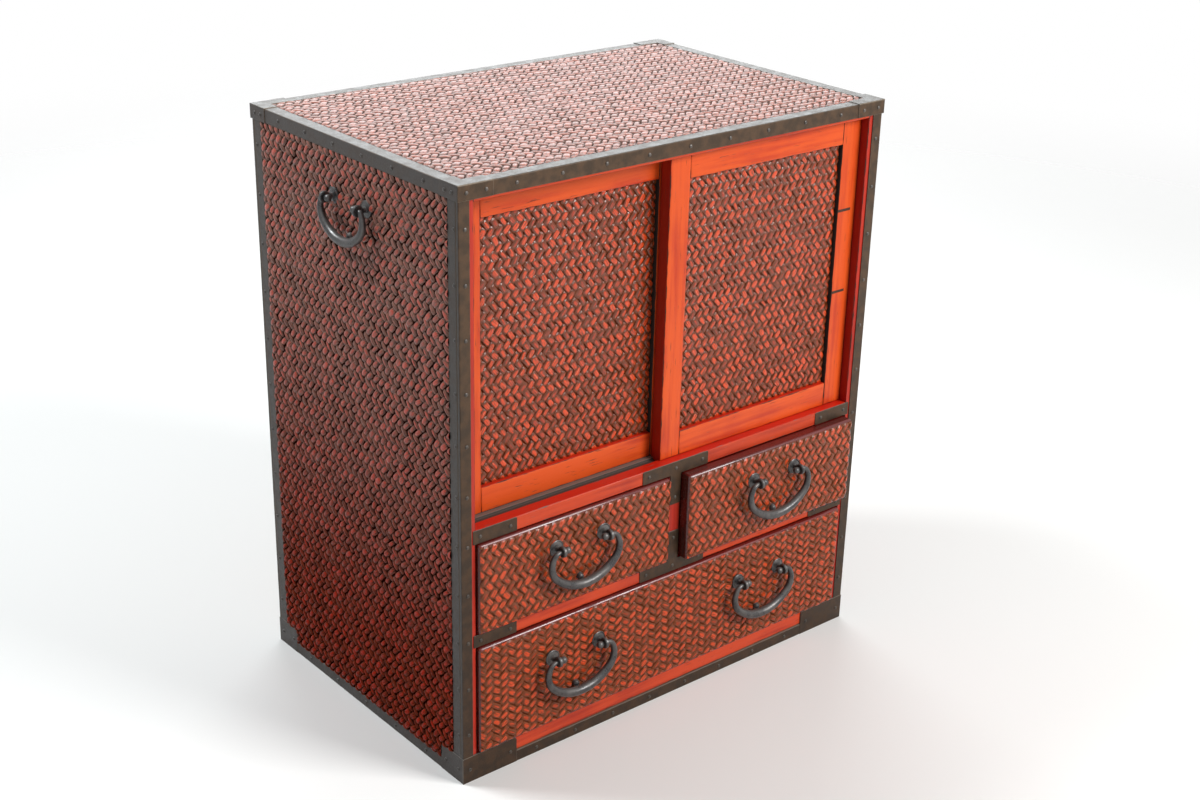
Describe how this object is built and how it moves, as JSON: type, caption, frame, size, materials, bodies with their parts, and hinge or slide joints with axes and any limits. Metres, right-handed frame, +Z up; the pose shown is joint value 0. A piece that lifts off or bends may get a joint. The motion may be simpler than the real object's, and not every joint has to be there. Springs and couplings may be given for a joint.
{
  "type": "tansu chest",
  "caption": "Low chest with woven panels bound in iron straps: sliding doors over drawers, swinging bail pulls and carrying handles at the sides.",
  "frame": {"origin": "on the floor, under the middle of the case", "axes": "+Z up, -Y out of the front with the doors and drawers, +X to the right seen from the front"},
  "size_m": [0.643, 0.4283, 0.69],
  "materials": {
    "lacquered_wood": "worn red-orange lacquer",
    "plain_wood": "stained, matt",
    "woven_bamboo": "split bamboo twill, dark lacquer worn red on the high spots",
    "iron": "dark oiled iron"
  },
  "bodies": {
    "case": {"back_board": "plain_wood", "base_corner_caps": "iron", "base_edge_straps": "iron", "bottom_board": "plain_wood", "bottom_rail": "lacquered_wood", "carry_posts": "iron", "carry_rosettes": "iron", "door_head_rail": "lacquered_wood", "door_sill_shelf": "lacquered_wood", "drawer_divider": "lacquered_wood", "drawer_runners": "plain_wood", "drawer_shelf": "lacquered_wood", "left_side_board": "lacquered_wood", "left_side_weave": "woven_bamboo", "rail_end_plates": "iron", "right_side_board": "lacquered_wood", "right_side_weave": "woven_bamboo", "strap_nails": "iron", "tee_plates": "iron", "top_board": "lacquered_wood", "top_corner_caps": "iron", "top_edge_straps": "iron", "top_weave": "woven_bamboo", "upright_edge_straps": "iron"},
    "left_door": {"left_door_panel": "lacquered_wood", "left_door_rails": "lacquered_wood", "left_door_stiles": "lacquered_wood", "left_door_weave": "woven_bamboo"},
    "right_door": {"right_door_panel": "lacquered_wood", "right_door_rails": "lacquered_wood", "right_door_stiles": "lacquered_wood", "right_door_weave": "woven_bamboo"},
    "left_drawer": {"left_drawer_back": "plain_wood", "left_drawer_bottom": "plain_wood", "left_drawer_front": "lacquered_wood", "left_drawer_posts": "iron", "left_drawer_rosettes": "iron", "left_drawer_sides": "plain_wood", "left_drawer_weave": "woven_bamboo"},
    "right_drawer": {"right_drawer_back": "plain_wood", "right_drawer_bottom": "plain_wood", "right_drawer_front": "lacquered_wood", "right_drawer_posts": "iron", "right_drawer_rosettes": "iron", "right_drawer_sides": "plain_wood", "right_drawer_weave": "woven_bamboo"},
    "wide_drawer": {"wide_drawer_back": "plain_wood", "wide_drawer_bottom": "plain_wood", "wide_drawer_front": "lacquered_wood", "wide_drawer_posts": "iron", "wide_drawer_rosettes": "iron", "wide_drawer_sides": "plain_wood", "wide_drawer_weave": "woven_bamboo"},
    "left_carry_bail": {"left_carry_bail": "iron"},
    "left_drawer_bail": {"left_drawer_bail": "iron"},
    "right_carry_bail": {"right_carry_bail": "iron"},
    "right_drawer_bail": {"right_drawer_bail": "iron"},
    "wide_drawer_left_bail": {"wide_drawer_left_bail": "iron"},
    "wide_drawer_right_bail": {"wide_drawer_right_bail": "iron"}
  },
  "joints": [
    {"name": "left_door_slide", "type": "slide", "parent": "case", "child": "left_door", "axis": [1, 0, 0], "range_m": [0, 0.2686]},
    {"name": "right_door_slide", "type": "slide", "parent": "case", "child": "right_door", "axis": [1, 0, 0], "range_m": [-0.2686, 0]},
    {"name": "left_drawer_slide", "type": "slide", "parent": "case", "child": "left_drawer", "axis": [0, -1, 0], "range_m": [0, 0.28]},
    {"name": "right_drawer_slide", "type": "slide", "parent": "case", "child": "right_drawer", "axis": [0, -1, 0], "range_m": [-0.009, 0.271]},
    {"name": "wide_drawer_slide", "type": "slide", "parent": "case", "child": "wide_drawer", "axis": [0, -1, 0], "range_m": [0, 0.28]},
    {"name": "left_drawer_bail_hinge", "type": "hinge", "parent": "left_drawer", "child": "left_drawer_bail", "pos_m": [-0.1462, -0.2145, 0.26], "axis": [-1, 0, 0], "range_deg": [0, 180]},
    {"name": "right_drawer_bail_hinge", "type": "hinge", "parent": "right_drawer", "child": "right_drawer_bail", "pos_m": [0.1462, -0.2235, 0.26], "axis": [-1, 0, 0], "range_deg": [0, 180]},
    {"name": "wide_drawer_left_bail_hinge", "type": "hinge", "parent": "wide_drawer", "child": "wide_drawer_left_bail", "pos_m": [-0.1495, -0.2145, 0.122], "axis": [-1, 0, 0], "range_deg": [0, 180]},
    {"name": "wide_drawer_right_bail_hinge", "type": "hinge", "parent": "wide_drawer", "child": "wide_drawer_right_bail", "pos_m": [0.1385, -0.2145, 0.122], "axis": [-1, 0, 0], "range_deg": [0, 180]},
    {"name": "left_carry_bail_hinge", "type": "hinge", "parent": "case", "child": "left_carry_bail", "pos_m": [-0.315, -0.003, 0.626], "axis": [0, 1, 0], "range_deg": [0, 180]},
    {"name": "right_carry_bail_hinge", "type": "hinge", "parent": "case", "child": "right_carry_bail", "pos_m": [0.315, -0.003, 0.626], "axis": [0, -1, 0], "range_deg": [0, 180]}
  ]
}
